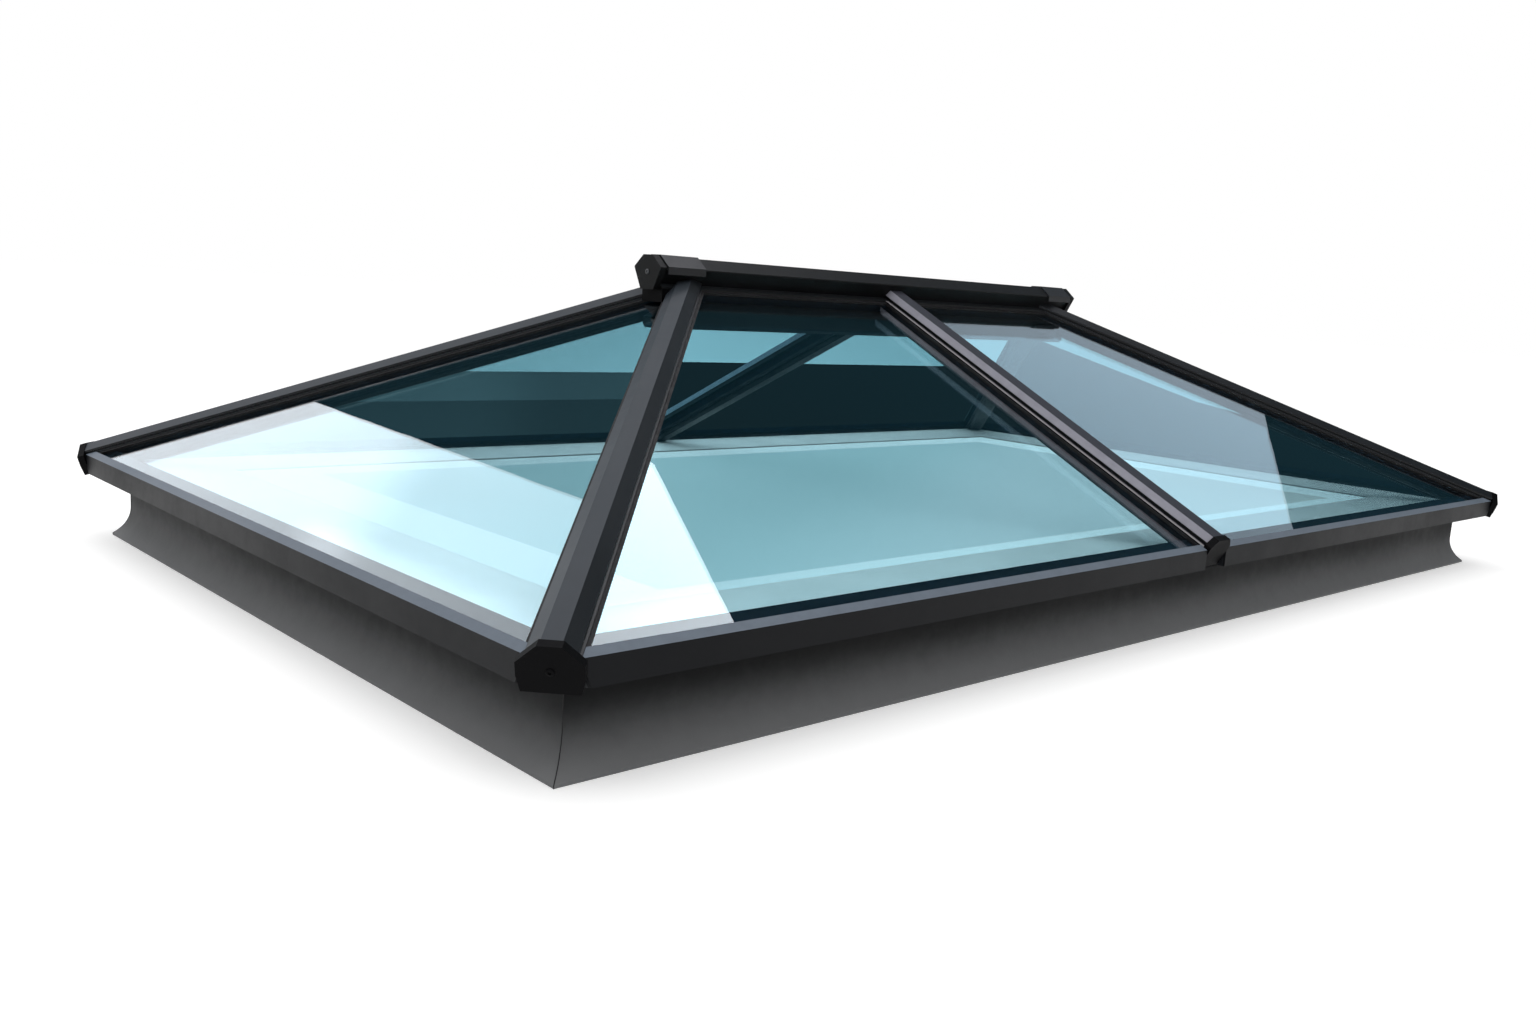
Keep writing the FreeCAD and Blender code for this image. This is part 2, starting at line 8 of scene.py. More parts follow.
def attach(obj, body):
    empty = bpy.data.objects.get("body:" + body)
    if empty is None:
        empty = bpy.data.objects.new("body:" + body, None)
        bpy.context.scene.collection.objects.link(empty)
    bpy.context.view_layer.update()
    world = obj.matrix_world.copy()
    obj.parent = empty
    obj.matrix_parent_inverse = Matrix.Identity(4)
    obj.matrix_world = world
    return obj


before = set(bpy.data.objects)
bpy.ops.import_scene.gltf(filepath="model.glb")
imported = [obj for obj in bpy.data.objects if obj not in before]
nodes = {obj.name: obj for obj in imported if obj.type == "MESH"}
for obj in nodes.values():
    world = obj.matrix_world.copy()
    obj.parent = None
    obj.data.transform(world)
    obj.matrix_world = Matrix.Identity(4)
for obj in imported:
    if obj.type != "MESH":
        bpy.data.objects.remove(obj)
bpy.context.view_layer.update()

# Camera at the photograph's viewpoint
CAMERA_AT = Vector((-1.9034, -1.7367, 0.5033))
AZIMUTH, ELEVATION, ROLL = math.radians(43.127), math.radians(9.689), math.radians(3.696)
SENSOR_WIDTH = 36
FOCAL_PIXELS = 1294.33
IMAGE_WIDTH = 1536


def aim_camera():
    forward = Vector((
        math.sin(AZIMUTH) * math.cos(ELEVATION),
        math.cos(AZIMUTH) * math.cos(ELEVATION),
        -math.sin(ELEVATION),
    ))
    level = Vector((math.cos(AZIMUTH), -math.sin(AZIMUTH), 0))
    upright = level.cross(forward)
    right = math.cos(ROLL) * level + math.sin(ROLL) * upright
    up = math.cos(ROLL) * upright - math.sin(ROLL) * level
    data = bpy.data.cameras.new("camera")
    data.lens = SENSOR_WIDTH * FOCAL_PIXELS / IMAGE_WIDTH
    data.sensor_width = SENSOR_WIDTH
    camera = bpy.data.objects.new("camera", data)
    turn = Matrix((right, up, -forward)).transposed()
    camera.matrix_world = Matrix.Translation(CAMERA_AT) @ turn.to_4x4()
    bpy.context.collection.objects.link(camera)
    bpy.context.scene.camera = camera


aim_camera()


# Node helpers
class Tree:
    """A material's or the world's nodes, with short calls to add and join them."""

    def __init__(self, owner):
        owner.use_nodes = True
        self.tree = owner.node_tree
        self.tree.nodes.clear()

    def add(self, kind, settings=None, **inputs):
        item = self.tree.nodes.new(kind)
        for name, value in (settings or {}).items():
            setattr(item, name, value)
        for name, value in inputs.items():
            self.put(item.inputs[name.replace("_", " ")], value)
        return item

    def put(self, socket, value):
        if isinstance(value, bpy.types.NodeSocket):
            self.tree.links.new(value, socket)
        else:
            socket.default_value = value

    def place(self):
        """Object coordinates of the point that is shaded."""
        return self.add("ShaderNodeTexCoord").outputs["Object"]

    def normal(self):
        return self.add("ShaderNodeNewGeometry").outputs["Normal"]

    def split(self, vector):
        """A vector's X, Y and Z."""
        return self.add("ShaderNodeSeparateXYZ", Vector=vector).outputs

    def rays(self):
        """What kind of ray meets the surface."""
        return self.add("ShaderNodeLightPath").outputs

    def math(self, operation, a, b=0.0, clamp=False):
        item = self.add("ShaderNodeMath", {"operation": operation, "use_clamp": clamp})
        self.put(item.inputs[0], a)
        self.put(item.inputs[1], b)
        return item.outputs[0]

    def product(self, first, *others):
        for other in others:
            first = self.math("MULTIPLY", first, other)
        return first

    def noise(self, where, scale, detail=3.0, roughness=0.55):
        item = self.add(
            "ShaderNodeTexNoise", Vector=where, Scale=scale, Detail=detail, Roughness=roughness
        )
        return item.outputs["Fac"]

    def span(self, value, low, high, to_low=0.0, to_high=1.0):
        """Map a value smoothly from one range to another."""
        item = self.add("ShaderNodeMapRange", {"interpolation_type": "SMOOTHSTEP"}, Value=value)
        ends = {"From Min": low, "From Max": high, "To Min": to_low, "To Max": to_high}
        for name, number in ends.items():
            item.inputs[name].default_value = number
        return item.outputs["Result"]

    def blend(self, share, a, b):
        """Colour between two colours."""
        item = self.add("ShaderNodeMix", {"data_type": "RGBA"})
        self.put(item.inputs["Factor"], share)
        self.put(item.inputs["A"], a)
        self.put(item.inputs["B"], b)
        return item.outputs["Result"]

    def between(self, share, a, b):
        """Number between two numbers."""
        item = self.add("ShaderNodeMix", {"data_type": "FLOAT"}, Factor=share, A=a, B=b)
        return item.outputs[0]

    def stretch(self, where, scale):
        return self.add("ShaderNodeMapping", Vector=where, Scale=scale).outputs["Vector"]

    def bump(self, height, strength, distance):
        item = self.add("ShaderNodeBump", Height=height)
        item.inputs["Strength"].default_value = strength
        item.inputs["Distance"].default_value = distance
        return item.outputs["Normal"]

    def mix_shaders(self, share, a, b):
        item = self.add("ShaderNodeMixShader")
        for socket, value in zip(item.inputs, (share, a, b)):
            self.put(socket, value)
        return item.outputs[0]

    def add_shaders(self, a, b):
        item = self.add("ShaderNodeAddShader")
        for socket, value in zip(item.inputs, (a, b)):
            self.put(socket, value)
        return item.outputs[0]

    def end(self, shader):
        self.add("ShaderNodeOutputMaterial", Surface=shader)


def rgb(red, green, blue):
    return (red, green, blue, 1.0)


def new_material(name):
    material = bpy.data.materials.new(name)
    return material, Tree(material)


# Masks for the paints: each is called with the tree, the normal and the place
def facing(axis, low, high):
    """Mask of the faces that look along an axis."""
    return lambda tree, normal, place: tree.span(normal[axis], low, high)


def facing_back(axis, low, high):
    """Mask of the faces that look against an axis."""
    return lambda tree, normal, place: tree.span(normal[axis], -high, -low, 1.0, 0.0)


def beyond(axis, low, high):
    """Mask of what lies further than this from the middle."""
    return lambda tree, normal, place: tree.span(
        tree.math("ABSOLUTE", place[axis]), low, high
    )


# Materials
# Band and fall of the kerb's paler foot, which is painted light
FOOT_LOW, FOOT_HIGH, FOOT_FALL = 0.004, 0.105, 1.4
SPECK_COLOUR = rgb(0.12, 0.12, 0.13)
GLASS_IOR = 1.45


def paint(name, deep, pale, painted_lights=(), rough=(0.34, 0.46), specular=0.2, grain=900.0, foot=None):
    """Powder coat: fine orange peel, slow tone drift, painted sheen and highlights by mask, and a
    paler foot of painted light.
    """
    material, tree = new_material(name)
    where = tree.place()
    place = tree.split(where)
    normal = tree.split(tree.normal())
    drift = tree.noise(where, 5.0, 4.0)
    cloud = tree.noise(where, 38.0, 5.0, 0.65)
    speck = tree.noise(where, grain, 2.0)
    colour = tree.blend(tree.span(drift, 0.35, 0.68), rgb(*deep), rgb(*pale))
    # Painted light: each colour lightens the faces that its masks pick, as painted sheen and
    # highlights
    for painted_light, masks in painted_lights:
        share = tree.span(cloud, 0.1, 0.75, 0.8, 1.0)
        share = tree.product(share, *[mask(tree, normal, place) for mask in masks])
        colour = tree.blend(share, colour, rgb(*painted_light))
    # Painted light: the foot grows paler towards the ground, where it catches light off the floor
    if foot:
        height = tree.math("ADD", place["Z"], tree.product(cloud, 0.012))
        foot_light = tree.span(height, FOOT_LOW, FOOT_HIGH, 1.0, 0.0)
        colour = tree.blend(tree.math("POWER", foot_light, FOOT_FALL), colour, rgb(*foot))
    colour = tree.blend(tree.span(speck, 0.62, 0.8, 0.0, 0.06), colour, SPECK_COLOUR)
    shine = tree.span(tree.math("ADD", drift, tree.product(cloud, 0.4)), 0.45, 1.0, *rough)
    surface = tree.add("ShaderNodeBsdfPrincipled", Base_Color=colour, Roughness=shine)
    surface.inputs["Specular IOR Level"].default_value = specular
    tree.put(surface.inputs["Normal"], tree.bump(speck, 0.12, 0.0004))
    tree.end(surface.outputs[0])
    return material


def rubber(name, deep, pale, rough=(0.55, 0.75), specular=0.3):
    """Dark seal or spacer: matt, with fine pores and chalky patches."""
    material, tree = new_material(name)
    where = tree.place()
    cloud = tree.noise(where, 60.0, 4.0)
    pore = tree.noise(where, 1500.0, 2.0)
    colour = tree.blend(tree.span(cloud, 0.4, 0.75), rgb(*deep), rgb(*pale))
    shine = tree.span(cloud, 0.3, 0.7, *rough)
    surface = tree.add("ShaderNodeBsdfPrincipled", Base_Color=colour, Roughness=shine)
    surface.inputs["Specular IOR Level"].default_value = specular
    tree.put(surface.inputs["Normal"], tree.bump(pore, 0.15, 0.0003))
    tree.end(surface.outputs[0])
    return material


def screw_steel(name, deep, pale):
    """Blackened screw head, dulled in patches."""
    material, tree = new_material(name)
    where = tree.place()
    cloud = tree.noise(where, 420.0, 4.0)
    grain = tree.noise(where, 2600.0, 2.0)
    colour = tree.blend(tree.span(cloud, 0.3, 0.7), rgb(*deep), rgb(*pale))
    shine = tree.span(cloud, 0.3, 0.7, 0.32, 0.5)
    surface = tree.add("ShaderNodeBsdfPrincipled", Base_Color=colour, Roughness=shine)
    surface.inputs["Metallic"].default_value = 1.0
    tree.put(surface.inputs["Normal"], tree.bump(grain, 0.2, 0.0002))
    tree.end(surface.outputs[0])
    return material


def lining_board(name, ledge, upstand):
    """Inner ring of white board: a pale ledge, and an upstand painted a shade deeper as painted
    shade on its upright faces.
    """
    material, tree = new_material(name)
    where = tree.place()
    upward = tree.split(tree.normal())["Z"]
    cloud = tree.noise(where, 14.0, 5.0)
    fibre = tree.noise(tree.stretch(where, (60.0, 60.0, 900.0)), 1.0, 3.0)
    ledge, upstand = [
        tree.blend(tree.span(cloud, 0.35, 0.7), rgb(*deep), rgb(*pale))
        for deep, pale in (ledge, upstand)
    ]
    # Painted shade: the upright faces are darker than the ledge
    colour = tree.blend(tree.span(upward, 0.4, 0.6), upstand, ledge)
    shine = tree.span(cloud, 0.3, 0.7, 0.45, 0.6)
    surface = tree.add("ShaderNodeBsdfPrincipled", Base_Color=colour, Roughness=shine)
    tree.put(surface.inputs["Normal"], tree.bump(fibre, 0.1, 0.0004))
    tree.end(surface.outputs[0])
    return material


def glass_pane(name, tint, shade):
    """Tinted pane that mirrors outwards only and lets lamp light straight through."""
    material, tree = new_material(name)
    where = tree.place()
    wave = tree.noise(where, 2.2, 2.0)
    smear = tree.noise(where, 26.0, 5.0, 0.6)
    shine = tree.span(smear, 0.55, 0.85, 0.0, 0.02)
    outer = tree.add("ShaderNodeBsdfPrincipled", Roughness=shine)
    outer.inputs["Base Color"].default_value = rgb(*tint)
    outer.inputs["Transmission Weight"].default_value = 1.0
    outer.inputs["IOR"].default_value = GLASS_IOR
    tree.put(outer.inputs["Normal"], tree.bump(wave, 0.05, 0.002))
    # Each face takes the root of the tint, as the outer shader does
    inner_tint = rgb(*[channel ** 0.5 for channel in tint])
    inner = tree.add("ShaderNodeBsdfRefraction", Color=inner_tint)
    inner.inputs["IOR"].default_value = GLASS_IOR
    inner.inputs["Roughness"].default_value = 0.0
    from_below = tree.math("LESS_THAN", tree.split(tree.normal())["Z"], 0.0)
    pane = tree.mix_shaders(from_below, outer.outputs[0], inner.outputs[0])
    clear = tree.add("ShaderNodeBsdfTransparent", Color=rgb(*shade))
    rays = tree.rays()
    lamp = tree.math("MAXIMUM", rays["Is Shadow Ray"], rays["Is Diffuse Ray"])
    tree.end(tree.mix_shaders(lamp, pane, clear.outputs[0]))
    return material


# Masks for painted light: upward faces and crowns take a painted sheen, faces looking left painted
# light from the left, and the rafter cap's flank and lip painted highlights
UPWARD = facing("Z", 0.78, 0.81)
CROWN = facing("Z", 0.905, 0.935)
PAINTED_LEFT_LIGHT = [facing_back("X", 0.36, 0.5), facing("Z", 0.5, 0.6)]
FLANK = [facing_back("X", 0.5, 0.7), facing("Z", 0.15, 0.2)]
LIP = [beyond("X", 0.0205, 0.0215), UPWARD]
FRAME_PAINTED_SHEEN = (0.03, 0.037, 0.045)
# The frame's crowns take a painted sheen, and its faces looking left painted light from the left
FRAME = paint(
    "frame_paint", (0.009, 0.0105, 0.0125), (0.013, 0.0152, 0.018),
    painted_lights=[(FRAME_PAINTED_SHEEN, [CROWN]), (FRAME_PAINTED_SHEEN, PAINTED_LEFT_LIGHT)],
)
# The upward faces of the eaves cover take a painted sheen
TRIM = paint(
    "trim_paint", (0.006, 0.0066, 0.008), (0.009, 0.0097, 0.011),
    painted_lights=[((0.13, 0.157, 0.192), [UPWARD])],
    rough=(0.36, 0.5), specular=0.08,
)
# The rafter cap's top takes a painted sheen, and its left flank and lip painted highlights
RAFTER = paint(
    "rafter_paint", (0.006, 0.0066, 0.008), (0.009, 0.0097, 0.011),
    painted_lights=[
        ((0.04, 0.042, 0.053), [UPWARD]),
        ((0.36, 0.355, 0.41), FLANK),
        ((0.3, 0.29, 0.3), LIP),
    ],
    rough=(0.36, 0.5), specular=0.08,
)
# The ridge's upward faces take a painted sheen
RIDGE = paint(
    "ridge_paint", (0.005, 0.0055, 0.006), (0.008, 0.0087, 0.0095),
    painted_lights=[((0.014, 0.016, 0.018), [UPWARD])],
    rough=(0.4, 0.52), specular=0.1,
)
# The saddle's upward faces take a painted sheen
SADDLE = paint(
    "saddle_paint", (0.012, 0.013, 0.015), (0.017, 0.018, 0.021),
    painted_lights=[((0.03, 0.033, 0.04), [UPWARD])],
)
# The kerb's paler foot is painted light, standing in for light off the floor
KERB = paint(
    "kerb_paint", (0.006, 0.0064, 0.0068), (0.01, 0.0105, 0.011),
    rough=(0.45, 0.6), specular=0.06, foot=(0.188, 0.192, 0.196),
)
BLACK = paint(
    "cap_black", (0.0016, 0.0016, 0.002), (0.003, 0.003, 0.0035),
    rough=(0.45, 0.6), specular=0.05, grain=700.0,
)
LINING = lining_board(
    "pale_lining",
    ledge=((0.85, 0.87, 0.87), (0.91, 0.92, 0.92)),
    upstand=((0.6, 0.63, 0.64), (0.68, 0.7, 0.7)),
)
GLASS = glass_pane("tinted_glass", tint=(0.74, 0.92, 0.965), shade=(0.985, 0.993, 0.996))
SPACER = rubber(
    "spacer_dark", (0.003, 0.008, 0.014), (0.006, 0.013, 0.022), rough=(0.4, 0.55), specular=0.03
)
RUBBER = rubber("gasket_rubber", (0.006, 0.006, 0.007), (0.014, 0.014, 0.015))
STEEL = screw_steel("screw_steel", (0.05, 0.052, 0.055), (0.11, 0.113, 0.118))

# Finish of each node, by the start of its name
FINISH = {
    "kerb_": KERB,
    "lining_": LINING,
    "eaves_beam_": FRAME,
    "eaves_cover_": TRIM,
    "glass_": GLASS,
    "spacer_frames": SPACER,
    "glazing_gaskets": RUBBER,
    "hip_bar_": FRAME,
    "hip_cap_": FRAME,
    "hip_end_caps": BLACK,
    "rafter_bar_": FRAME,
    "rafter_cap_": RAFTER,
    "rafter_end_caps": BLACK,
    "ridge_beam": FRAME,
    "ridge_cap": RIDGE,
    "ridge_end_caps": RIDGE,
    "ridge_saddles": SADDLE,
    "ridge_fillings": BLACK,
}
ROUNDED = (
    "eaves_cover_", "hip_cap_", "hip_end_caps", "rafter_cap_", "rafter_end_caps", "ridge_cap",
    "ridge_end_caps", "ridge_saddles", "kerb_",
)
EDGE_WIDTH = 0.0007
EDGE_ANGLE = math.radians(25)
# The spacers draw back from the panes, so that no two faces lie in one plane
SPACER_SEAT = -0.0003

for name, item in nodes.items():
    finish = next(FINISH[start] for start in FINISH if name.startswith(start))
    item.data.materials.clear()
    item.data.materials.append(finish)
    if name.startswith(ROUNDED):
        edge = item.modifiers.new("edge", "BEVEL")
        edge.width = EDGE_WIDTH
        edge.segments = 2
        edge.limit_method = "ANGLE"
        edge.angle_limit = EDGE_ANGLE
    if name == "spacer_frames":
        seat = item.modifiers.new("seat", "DISPLACE")
        seat.mid_level = 0
        seat.strength = SPACER_SEAT


# Screws in the closing plates, and sealed mitres at the kerb's corners
MM_PER_METRE = 1000
# Radius and height in millimetres, from the foot of the head to the edge of its recess
SCREW_PROFILE = [(4.6, 0), (4.6, 0.4), (4.2, 1.1), (3.2, 1.5), (2.4, 1.6)]
SCREW_SIDES = 24
SOCKET_SIDES = 6
SOCKET_MOUTH = (2.0, 1.6)
SOCKET_PIT = (1.9, 0.5)
BEAD_RADIUS = 0.0006
BEAD_SIDES = 8
PITCH = math.radians(26)
HIP_SLOPE = math.atan(math.tan(PITCH) / math.sqrt(2))
# On a mitre, X is this much further from the middle than Y
MITRE_OFFSET = 0.5
MITRE_TOLERANCE = 2e-4


def ring(bm, radius, height, count):
    return [
        bm.verts.new((
            radius * math.cos(math.tau * step / count) / MM_PER_METRE,
            radius * math.sin(math.tau * step / count) / MM_PER_METRE,
            height / MM_PER_METRE,
        ))
        for step in range(count)
    ]


def wall(bm, low, high):
    """Close the gap between two rings of as many points."""
    count = len(low)
    for step in range(count):
        after = (step + 1) % count
        bm.faces.new((low[step], low[after], high[after], high[step]))


def keep(name, bm, finish):
    """Turn finished mesh code into a piece that rides with the lantern."""
    mesh = bpy.data.meshes.new(name)
    bm.to_mesh(mesh)
    bm.free()
    mesh.materials.append(finish)
    item = bpy.data.objects.new(name, mesh)
    bpy.context.collection.objects.link(item)
    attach(item, "root")


def screw(name, at, outward, finish):
    """Low domed head with a hexagonal recess, standing on a face."""
    bm = bmesh.new()
    rings = [ring(bm, radius, height, SCREW_SIDES) for radius, height in SCREW_PROFILE]
    for low, high in zip(rings, rings[1:]):
        wall(bm, low, high)
    mouth = ring(bm, *SOCKET_MOUTH, SOCKET_SIDES)
    share = SCREW_SIDES // SOCKET_SIDES
    for step in range(SCREW_SIDES):
        after = (step + 1) % SCREW_SIDES
        here, there = mouth[step // share], mouth[after // share]
        corners = [rings[-1][step], rings[-1][after], here]
        if here is not there:
            corners.insert(2, there)
        bm.faces.new(corners)
    pit = ring(bm, *SOCKET_PIT, SOCKET_SIDES)
    wall(bm, mouth, pit)
    bm.faces.new(pit)
    bm.faces.new(rings[0][::-1])
    turn = outward.to_track_quat("Z", "Y").to_matrix().to_4x4()
    bm.transform(Matrix.Translation(at) @ turn)
    keep(name, bm, finish)


def face_centre(node, outward, near):
    """Middle of a node's face that looks outward, on the side of the object where near lies."""
    total, weight = Vector(), 0.0
    for face in nodes[node].data.polygons:
        if face.normal.dot(outward) > 0.995 and face.center.dot(near) > 0:
            total += face.center * face.area
            weight += face.area
    return total / weight


def corner_line(node, along, across):
    """Outer line of a kerb's mitre, from its foot up."""
    points = {}
    for vertex in nodes[node].data.vertices:
        spot = vertex.co
        out = spot.x * along
        if out > 0 and abs(out - spot.y * across - MITRE_OFFSET) < MITRE_TOLERANCE:
            level = round(spot.z, 4)
            if level not in points or out > points[level].x * along:
                points[level] = spot.copy()
    return [points[level] for level in sorted(points)]


def bead(name, line, sideways):
    """Thin round bead of sealant along a line."""
    bm = bmesh.new()
    rings = []
    turns = [math.tau * step / BEAD_SIDES for step in range(BEAD_SIDES)]
    for index, spot in enumerate(line):
        before, after = line[max(index - 1, 0)], line[min(index + 1, len(line) - 1)]
        across = (after - before).normalized().cross(sideways)
        rings.append([
            bm.verts.new(spot + BEAD_RADIUS * (math.cos(turn) * sideways + math.sin(turn) * across))
            for turn in turns
        ])
    for low, high in zip(rings, rings[1:]):
        wall(bm, low, high)
    bm.faces.new(rings[0][::-1])
    bm.faces.new(rings[-1])
    bmesh.ops.recalc_face_normals(bm, faces=bm.faces)
    keep(name, bm, RUBBER)


for side, along in {"left": -1, "right": 1}.items():
    outward = Vector((along, 0, 0))
    at = face_centre("ridge_end_caps", outward, outward)
    screw(f"screw_ridge_{side}", at, outward, STEEL)
    for end, across in {"front": -1, "back": 1}.items():
        level = Vector((along, across, 0)).normalized()
        outward = level * math.cos(HIP_SLOPE) - Vector((0, 0, math.sin(HIP_SLOPE)))
        at = face_centre("hip_end_caps", outward, level)
        screw(f"screw_hip_{end}_{side}", at, outward, BLACK)
        sideways = Vector((-across, along, 0)).normalized()
        bead(f"seam_{end}_{side}", corner_line(f"kerb_{end}", along, across), sideways)


# Studio: pale floor, a sheet under the glass, a broad soft panel overhead, and a white room
FLOOR_HALF = 40
FLOOR_NEAR, FLOOR_FAR = 1.6, 4.0
SHEET_X, SHEET_Y, SHEET_Z = 1.045, 0.545, 0.126
# How brightly the sheet glows as painted light, in its middle and round its rim
SHEET_LEVEL, RIM_LEVEL = 0.44, 0.72
RIM_COLOUR = rgb(0.9, 1.0, 1.03)
PANEL_Z = 5
# Dark cards that paint the shaded far side as seen through the glass
FLAG_BACK_Y = 1.1
FLAG_SIDE_X = 1.6
FLAG_DARK = 0.018
# Where the painted shade of the far side changes tone, as seen through the glass
FLAG_BREAK_X = 0.27
# Level of the white room and floor as seen through the glass
THROUGH_GLASS = 0.62
ROOM_LIGHT = 0.38
# Rise of a ray at which the walls of the room give way to its dusky ceiling
WALL_TOP, CEILING = 0.18, 0.27
CEILING_LEVEL = 0.05
CEILING_COLOUR = rgb(0.25, 0.75, 1.0)
WHITE = rgb(1, 1, 1)


def flat_mesh(name, corners, material):
    mesh = bpy.data.meshes.new(name)
    mesh.from_pydata(corners, [], [tuple(range(len(corners)))])
    item = bpy.data.objects.new(name, mesh)
    mesh.materials.append(material)
    bpy.context.collection.objects.link(item)
    return item


def oblong(x, y, z):
    """Corners of a level rectangle about the middle."""
    return [(-x, -y, z), (x, -y, z), (x, y, z), (-x, y, z)]


def floor_material():
    """Pale floor that keeps a shadow near the lantern and is plain white further out."""
    material, tree = new_material("floor")
    rays = tree.rays()
    seen = tree.math("ADD", rays["Is Camera Ray"], rays["Is Glossy Ray"])
    through = tree.product(rays["Is Transmission Ray"], THROUGH_GLASS)
    seen = tree.math("ADD", seen, through, True)
    reach = tree.add("ShaderNodeVectorMath", {"operation": "LENGTH"})
    tree.put(reach.inputs[0], tree.place())
    far = tree.span(reach.outputs["Value"], FLOOR_NEAR, FLOOR_FAR)
    colour = tree.blend(far, rgb(0.9, 0.9, 0.9), rgb(0.02, 0.02, 0.02))
    matt = tree.add("ShaderNodeBsdfDiffuse", Color=colour)
    level = tree.product(seen, tree.span(far, 0.0, 1.0, 0.32, 1.0))
    glow = tree.add("ShaderNodeEmission", Strength=level)
    tree.end(tree.add_shaders(matt.outputs[0], glow.outputs[0]))
    return material


def sheet_material():
    """Pale backing sheet under the glass, glowing as painted light to camera and glass: tinted in
    its middle, brighter round its rim and toward its front right.
    """
    material, tree = new_material("sheet")
    rays = tree.rays()
    seen = tree.math("ADD", rays["Is Camera Ray"], rays["Is Transmission Ray"], True)
    place = tree.split(tree.place())
    x, y = place["X"], place["Y"]
    # Painted light: the rim and the front right of the sheet glow brighter
    rim = tree.math("ADD", tree.span(y, -0.51, -0.505, 1.0, 0.0), tree.span(y, 0.465, 0.47))
    rim = tree.math("ADD", rim, tree.span(x, -0.93, -0.924, 1.0, 0.0))
    rim = tree.math("ADD", rim, tree.span(x, 0.93, 0.936), True)
    slant = tree.math("SUBTRACT", x, tree.product(y, 1.5))
    level = tree.product(
        seen,
        tree.span(rim, 0.0, 1.0, SHEET_LEVEL, RIM_LEVEL),
        tree.span(x, -0.4, 0.9, 0.88, 1.12),
        tree.span(slant, -0.3, 0.6, 0.96, 1.39),
        tree.span(slant, 0.8, 1.1, 1.0, 0.86),
    )
    middle = tree.blend(
        tree.span(slant, -0.3, 0.6), rgb(0.59, 0.97, 1.03), rgb(0.81, 0.97, 1.03)
    )
    middle = tree.blend(tree.span(slant, 0.8, 1.1), middle, rgb(0.93, 0.97, 0.96))
    colour = tree.blend(rim, middle, RIM_COLOUR)
    matt = tree.add("ShaderNodeBsdfDiffuse", Color=rgb(0.36, 0.39, 0.4))
    glow = tree.add("ShaderNodeEmission", Color=colour, Strength=level)
    tree.end(tree.add_shaders(matt.outputs[0], glow.outputs[0]))
    return material


def panel_material(name, lit, plain, near=0.0, distant=0.0, colour=(1, 1, 1)):
    """Card with one level as a lamp and another as glass and paint show it.

    The level that is shown rises by near and distant at the card's ends, and at its left edge.
    """
    material, tree = new_material(name)
    rays = tree.rays()
    shown = tree.math("ADD", rays["Is Glossy Ray"], rays["Is Transmission Ray"], True)
    place = tree.split(tree.place())
    x, y = place["X"], place["Y"]
    near_end = tree.product(
        tree.span(y, 3.0, 5.0, near, 0.0),
        tree.span(y, -0.6, 0.0),
        tree.span(x, 1.2, 2.0),
        tree.span(y, 1.05, 1.2, 1.6, 1.0),
    )
    far_end = tree.span(y, 8.6, 10.1, 0.0, distant)
    mirrored = tree.math("ADD", tree.math("ADD", near_end, plain), far_end)
    edge = tree.product(tree.span(x, -0.3, 0.0, 0.6, 0.0), tree.span(y, 9.3, 10.8, 1.0, 0.0))
    mirrored = tree.product(mirrored, tree.math("ADD", edge, 1.0))
    shade = tree.blend(shown, WHITE, rgb(*colour))
    level = tree.between(shown, lit, mirrored)
    glow = tree.add("ShaderNodeEmission", Color=shade, Strength=level)
    tree.end(glow.outputs[0])
    return material


SOFTBOX = [
    (-7, -8), (4.3, -8), (3.34, 0.9), (3.2, 2.05), (2.6, 2.9), (0.85, 6.5), (1.14, 12.6),
    (1.3, 17), (-7, 17),
]
VEIL = [
    (9.9, -1), (10.2, -1), (10.93, 1.0), (11.71, 2.38), (12.5, 4), (6.2, 4), (6.75, 3.4),
    (9.0, 1.03),
]
# Dark cards beyond the far panes, painted shade seen only through the glass: level, and outline
# along the card and up
FLAGS_BACK = {
    "flag_back": (
        FLAG_DARK,
        [(FLAG_BREAK_X, 0), (FLAG_SIDE_X, 0), (FLAG_SIDE_X, 0.29), (FLAG_BREAK_X, 0.293)],
    ),
    "flag_back_low": (0.06, [(-1.9, 0), (FLAG_BREAK_X, 0), (FLAG_BREAK_X, 0.19), (-1.9, 0.19)]),
    "flag_back_high": (
        0.14, [(-1.9, 0.19), (FLAG_BREAK_X, 0.19), (FLAG_BREAK_X, 0.262), (-1.9, 0.262)]
    ),
}
FLAG_SIDE = [
    (FLAG_BACK_Y, 0), (-1.4, 0), (-1.4, 0.14), (-0.1, 0.218), (0.2, 0.262), (0.69, 0.38),
    (0.9, 0.43), (0.9, 0.28), (FLAG_BACK_Y, 0.29),
]

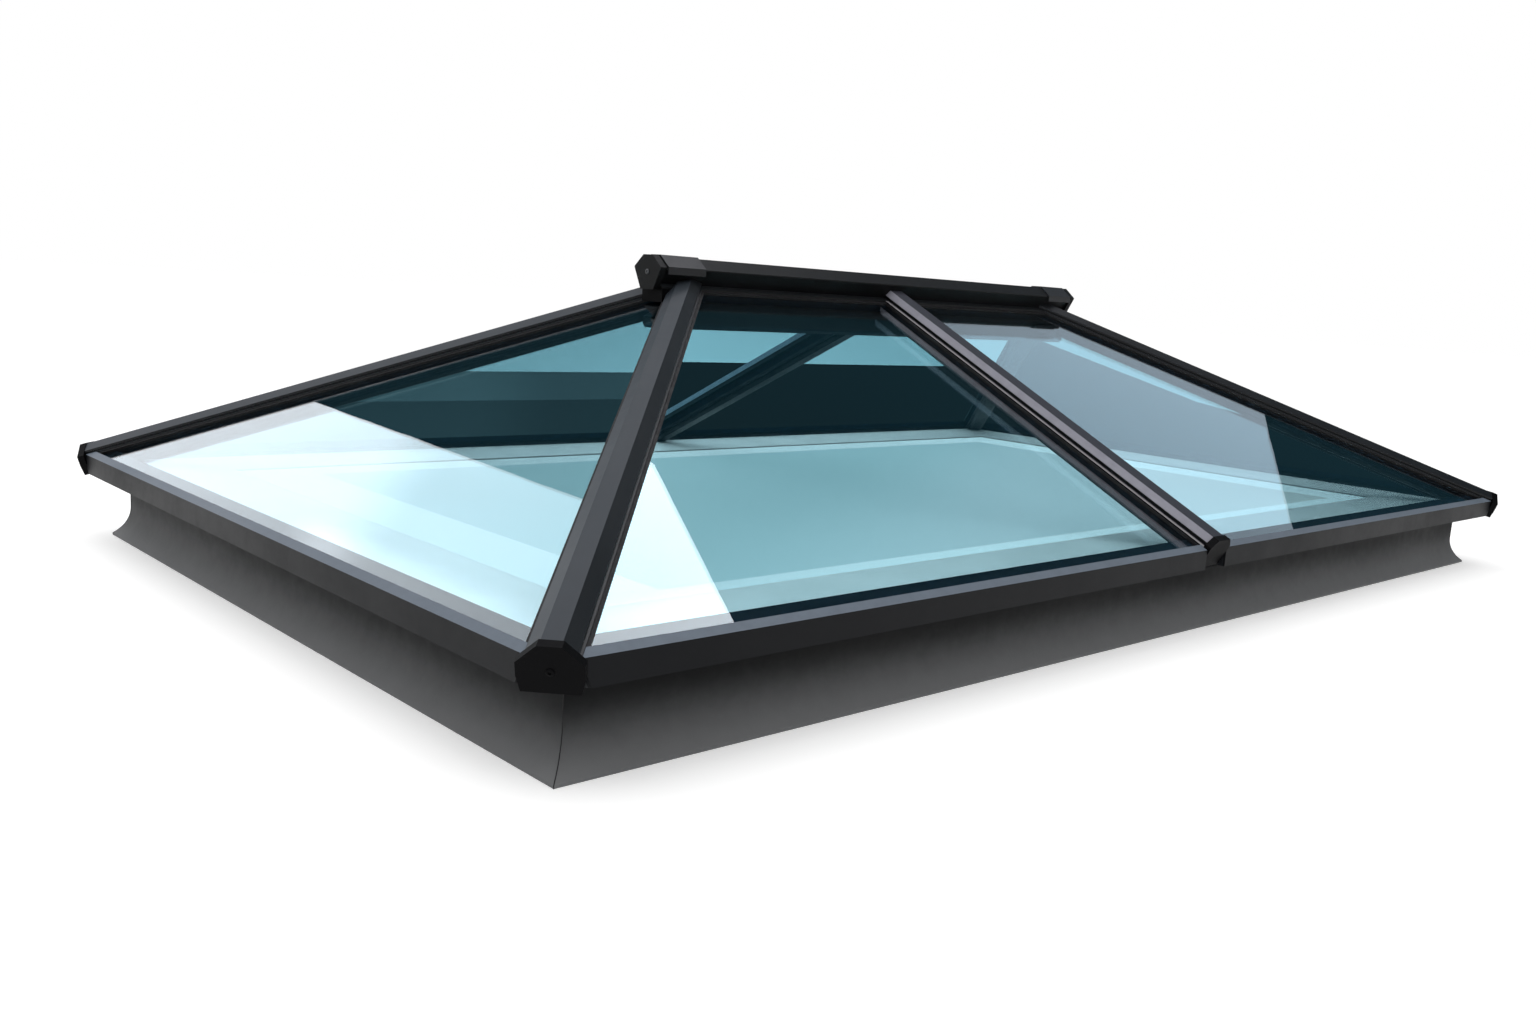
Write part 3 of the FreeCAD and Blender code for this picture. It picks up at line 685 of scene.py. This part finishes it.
flat_mesh("floor", oblong(FLOOR_HALF, FLOOR_HALF, 0), floor_material())
flat_mesh("sheet", oblong(SHEET_X, SHEET_Y, SHEET_Z), sheet_material())
softbox = flat_mesh(
    "softbox", [(x, y, PANEL_Z) for x, y in SOFTBOX],
    panel_material("softbox", 1.5, 1.18, near=2.3, distant=0.62, colour=(0.97, 0.97, 1.02)),
)
veil = flat_mesh(
    "veil", [(x, y, PANEL_Z) for x, y in VEIL],
    panel_material("veil", 0.68, 0.68, colour=(0.84, 0.97, 1.12)),
)
flags = [
    flat_mesh(name, [(x, FLAG_BACK_Y, z) for x, z in outline], panel_material(name, level, level))
    for name, (level, outline) in FLAGS_BACK.items()
]
flags.append(flat_mesh(
    "flag_side", [(FLAG_SIDE_X, y, z) for y, z in FLAG_SIDE],
    panel_material("flag_side", FLAG_DARK, FLAG_DARK),
))
for card in [softbox, veil] + flags:
    card.visible_camera = False
    card.visible_shadow = False
for card in [veil] + flags:
    card.visible_diffuse = False
for card in flags:
    card.visible_glossy = False


def light_room():
    """White room: plain light on the lantern, white to the camera, dusky overhead in the glass."""
    world = bpy.data.worlds.new("studio")
    bpy.context.scene.world = world
    tree = Tree(world)
    rays = tree.rays()
    rise = tree.split(tree.add("ShaderNodeTexCoord").outputs["Generated"])["Z"]
    shown = tree.math("ADD", rays["Is Glossy Ray"], rays["Is Transmission Ray"], True)
    walls = tree.product(
        tree.span(rise, WALL_TOP, CEILING, 1.0, CEILING_LEVEL),
        tree.span(rays["Is Transmission Ray"], 0.0, 1.0, 1.0, THROUGH_GLASS),
    )
    level = tree.between(shown, ROOM_LIGHT, walls)
    level = tree.between(rays["Is Camera Ray"], level, 1.0)
    dusky = tree.product(shown, tree.span(rise, WALL_TOP, CEILING))
    colour = tree.blend(dusky, WHITE, CEILING_COLOUR)
    background = tree.add("ShaderNodeBackground", Color=colour, Strength=level)
    tree.add("ShaderNodeOutputWorld", Surface=background.outputs[0])


light_room()
bpy.context.scene.view_settings.view_transform = "Standard"
